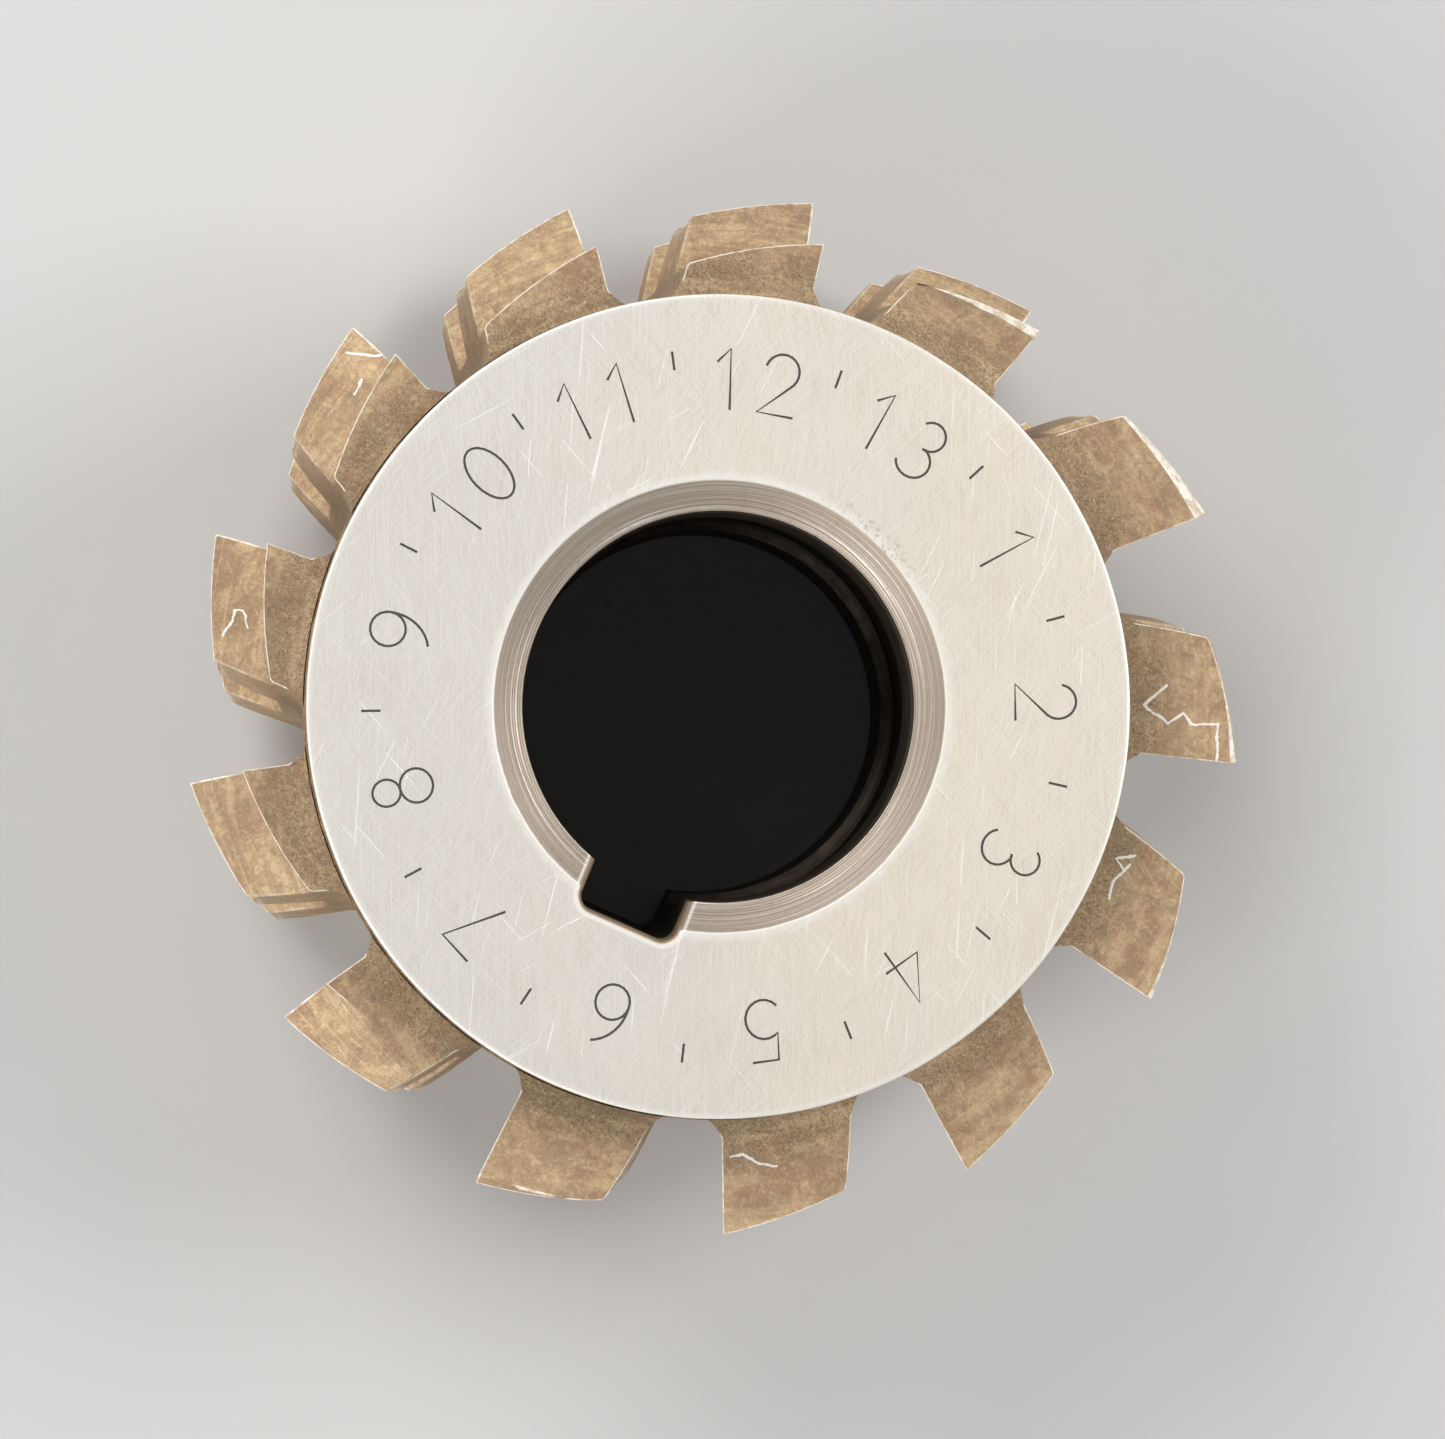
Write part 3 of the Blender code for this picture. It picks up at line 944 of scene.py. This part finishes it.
def core_look():
    """Dark relieved bore inside, brown gash bottoms outside."""
    look = Look("core_steel")
    patches = look.ramp(look.noise(0.30, 5.0, 0.6), 0.35, 0.65)
    outside = look.mix(patches, TOOTH_RED, TOOTH_TAN)
    speck = look.ramp(look.noise(5.0, 3.0, 0.7, offset=5.0), 0.50, 0.68, 0.0, 0.8)
    outside = look.mix(speck, outside, TOOTH_DARK)
    lapped = look.noise(1.0, 3.0, 0.6, place=look.turned(0, (0.25, 0.25, 2.5)))
    inside = look.mix(look.ramp(lapped, 0.35, 0.70), BORE_DARK, BORE_BROWN)
    relieved = look.ramp(look.radius, RELIEF - 0.5, RELIEF - 0.1)
    inside = look.mix(relieved, inside, RELIEF_DARK)
    colour = look.mix(look.ramp(look.radius, 17.0, 20.0), inside, outside)
    roughness = look.ramp(look.noise(1.2, 4.0, 0.6), 0.3, 0.7, 0.38, 0.56)
    normal = look.bump(look.noise(3.5, 4.0, 0.65), 0.35, 0.03)
    return look.finish(colour, roughness, normal, 0.80)


def residue_marks(look, row):
    """Dried residue on the front of one row: thin bent lines of uneven thickness."""
    sway = look.minus(look.noise(1.5, 3.0, 0.6, offset=19.0), 0.5)
    sway = look.times(sway, 0.35)
    out = look.plus(look.radius, sway)
    face = (FIRST_FACE_ANGLE - row * ROW_PITCH + math.pi) % math.tau - math.pi
    behind = look.times(look.minus(look.angle, face), look.radius)
    place = look.combine(look.plus(behind, sway), out, 0.0)
    away = None
    for line in RESIDUE_LINES[row]:
        for start, end in zip(line, line[1:]):
            one = look.away_from(place, start, end)
            away = one if away is None else look.lower(away, one)
    thick = look.ramp(look.noise(2.0, 3.0, 0.6, offset=27.0), 0.35, 0.65, 0.08, 0.15)
    marks = look.ramp(look.over(away, thick), 0.5, 1.0, 1.0, 0.0)
    front = look.ramp(look.z, FRONT - 8.4, FRONT - 6.4)
    front = look.times(front, look.ramp(look.radius, 29.0, 29.3))
    return look.times(marks, front)


def tooth_look(row=None):
    """Stained brown relief-ground steel, darker at the feet from grime and painted shade, with
    bright worn edges, a painted highlight at the heels and a row's residue if given.
    """
    look = Look("relieved_tooth_steel" if row is None else f"relieved_tooth_steel_{row + 1:02d}")
    broad = look.ramp(look.noise(0.28, 4.0, 0.6, distortion=0.6), 0.36, 0.62)
    colour = look.mix(broad, TOOTH_TAN, TOOTH_RED)
    gold = look.noise(0.50, 5.0, 0.70, distortion=0.8, offset=9.0)
    gold = look.ramp(gold, 0.46, 0.66, 0.0, 0.75)
    colour = look.mix(gold, colour, TOOTH_GOLD)
    veins = look.noise(1.1, 5.0, 0.72, distortion=1.0, offset=23.0)
    veins = look.ramp(veins, 0.49, 0.63, 0.0, 0.72)
    colour = look.mix(veins, colour, TOOTH_GREY)
    # Darker towards the feet of the teeth: partly grime, partly painted shade from the hub and the
    # gashes between rows.
    foot = look.plus(look.radius, look.times(look.noise(0.8, 3.0), 2.4))
    foot = look.ramp(foot, ROOT - 2.65, ROOT + 0.55, 1.0, 0.0)
    colour = look.mix(look.times(foot, 0.50), colour, TOOTH_GREY)
    fine = look.ramp(look.noise(2.6, 5.0, 0.82, offset=37.0), 0.38, 0.62, 0.0, 0.50)
    colour = look.mix(fine, colour, TOOTH_RED)
    flecks = look.ramp(look.noise(3.4, 4.0, 0.82, offset=83.0), 0.50, 0.64, 0.0, 0.45)
    colour = look.mix(flecks, colour, TOOTH_GOLD)
    lines = look.combine(
        look.times(look.z, 7.0),
        look.times(look.angle, 5.0),
        look.times(look.radius, 0.8),
    )
    ground = look.noise(1.0, 3.0, 0.65, place=lines)
    colour = look.mix(look.ramp(ground, 0.50, 0.66, 0.0, 0.38), colour, TOOTH_GOLD)
    colour = look.mix(look.ramp(ground, 0.34, 0.48, 0.28, 0.0), colour, TOOTH_GREY)
    grain = look.noise(6.5, 3.0, 0.75, offset=5.0)
    specks = look.times(look.ramp(grain, 0.48, 0.62), look.plus(foot, 0.35, True))
    colour = look.mix(look.times(specks, 0.70), colour, TOOTH_DARK)
    glints = look.ramp(look.noise(5.6, 3.0, 0.7, offset=47.0), 0.63, 0.70)
    glints = look.times(glints, look.plus(foot, 0.12, True))
    colour = look.mix(look.times(glints, 0.60), colour, EDGE_BRIGHT)
    strokes = look.scratches(math.radians(35), 3.0, 0.12, 0.72, 0.78, 3.0)
    colour = look.mix(look.times(strokes, 0.35), colour, EDGE_BRIGHT)
    if row is not None:
        residue = residue_marks(look, row)
        colour = look.mix(look.times(residue, 0.90), colour, RESIDUE)
    patchy = look.ramp(look.noise(1.3, 4.0, 0.7, offset=61.0), 0.36, 0.58, 0.40, 1.0)
    # Bright where the wear attribute is high: worn bare metal at the edges, and a painted highlight
    # at the heel corners.
    worn = look.times(look.ramp(look.attribute("wear"), 0.15, 0.70), patchy)
    colour = look.mix(worn, colour, EDGE_BRIGHT)
    roughness = look.ramp(look.noise(1.6, 4.0, 0.7, offset=3.0), 0.3, 0.7, 0.57, 0.68)
    relief = look.minus(look.times(glints, 0.6), look.times(specks, 0.8))
    normal = look.bump(relief, 0.5, 0.02)
    normal = look.bump(look.noise(3.0, 4.0, 0.8, offset=2.0), 0.35, 0.02, normal)
    normal = look.bump(ground, 0.35, 0.03, normal)
    if row is not None:
        normal = look.bump(residue, 0.6, 0.03, normal)
    return look.finish(colour, roughness, normal, 0.50)


# ---------------------------------------------------------------- the hob


def place_piece(obj, material, slot, *nodes):
    obj.data.materials.clear()
    obj.data.materials.append(material)
    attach(obj, "root")
    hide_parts(*nodes)


def build_hob():
    ground, bored, plain = hub_look(), core_look(), tooth_look()
    reach = LENGTH - FRONT_END + MM
    front = hub_ring("front_hub", LENGTH, 1.0)
    cut_with(front, keyway_cutter(LENGTH, 1.0, reach, KEYWAY_RIM))
    cut_with(front, engraving_cutter())
    place_piece(front, ground, "hub_steel", "hub_front")
    rear = hub_ring("rear_hub", 0.0, -1.0)
    cut_with(rear, keyway_cutter(0.0, -1.0, reach, KEYWAY_RIM))
    place_piece(rear, ground, "hub_steel", "hub_rear")
    core = core_ring()
    cut_with(core, plain_keyway_cutter())
    place_piece(core, bored, "bore_steel", "core_body")
    for row in range(ROWS):
        toothed = tooth_look(row) if row in RESIDUE_LINES else plain
        place_piece(tooth_row(row), toothed, "tooth_steel", f"tooth_row_{row + 1:02d}")


# ---------------------------------------------------------------- stage


def make_floor():
    bm = bmesh.new()
    bmesh.ops.create_grid(bm, x_segments=1, y_segments=1, size=FLOOR_HALF)
    floor = mesh_object("floor", bm)
    floor.location.z = -FLOOR_DROP
    material = bpy.data.materials.new("pale_floor")
    material.use_nodes = True
    shader = material.node_tree.nodes["Principled BSDF"]
    shader.inputs["Base Color"].default_value = FLOOR_COLOUR
    shader.inputs["Roughness"].default_value = 0.9
    floor.data.materials.append(material)


def area_light(name, place, size, power):
    light = bpy.data.lights.new(name, "AREA")
    light.shape = "SQUARE"
    light.size = size
    light.energy = power
    light.color = LIGHT_COLOUR
    obj = new_object(name, light)
    obj.location = place
    obj.rotation_euler = (Vector(LIGHT_AIM) - Vector(place)).to_track_quat("-Z", "Y").to_euler()


def make_lights():
    world = bpy.data.worlds.new("studio")
    bpy.context.scene.world = world
    world.use_nodes = True
    nodes, links = world.node_tree.nodes, world.node_tree.links
    coordinates = nodes.new("ShaderNodeTexCoord")
    split = nodes.new("ShaderNodeSeparateXYZ")
    fade = nodes.new("ShaderNodeMapRange")
    links.new(coordinates.outputs["Generated"], split.inputs[0])
    links.new(split.outputs["Z"], fade.inputs[0])
    fade.inputs[1].default_value, fade.inputs[2].default_value = WORLD_FADE
    fade.inputs[3].default_value, fade.inputs[4].default_value = WORLD_LOW, WORLD_TOP
    background = nodes["Background"]
    background.inputs["Color"].default_value = WORLD_COLOUR
    links.new(fade.outputs[0], background.inputs["Strength"])
    for light in LIGHTS:
        area_light(*light)


def make_camera():
    data = bpy.data.cameras.new("camera")
    data.sensor_width = 36.0
    data.lens = VIEW_LENS
    data.clip_start = 0.01
    camera = new_object("camera", data)
    camera.matrix_world = (
        Matrix.Translation((0.0, 0.0, LENGTH))
        @ Matrix.Rotation(VIEW_ROLL, 4, "Z")
        @ Matrix.Rotation(VIEW_YAW, 4, "Y")
        @ Matrix.Rotation(VIEW_PITCH, 4, "X")
        @ Matrix.Translation((*VIEW_OFFSET, VIEW_DISTANCE))
    )
    bpy.context.scene.camera = camera


bpy.context.scene.view_settings.view_transform = "Standard"
build_hob()
make_floor()
make_lights()
make_camera()
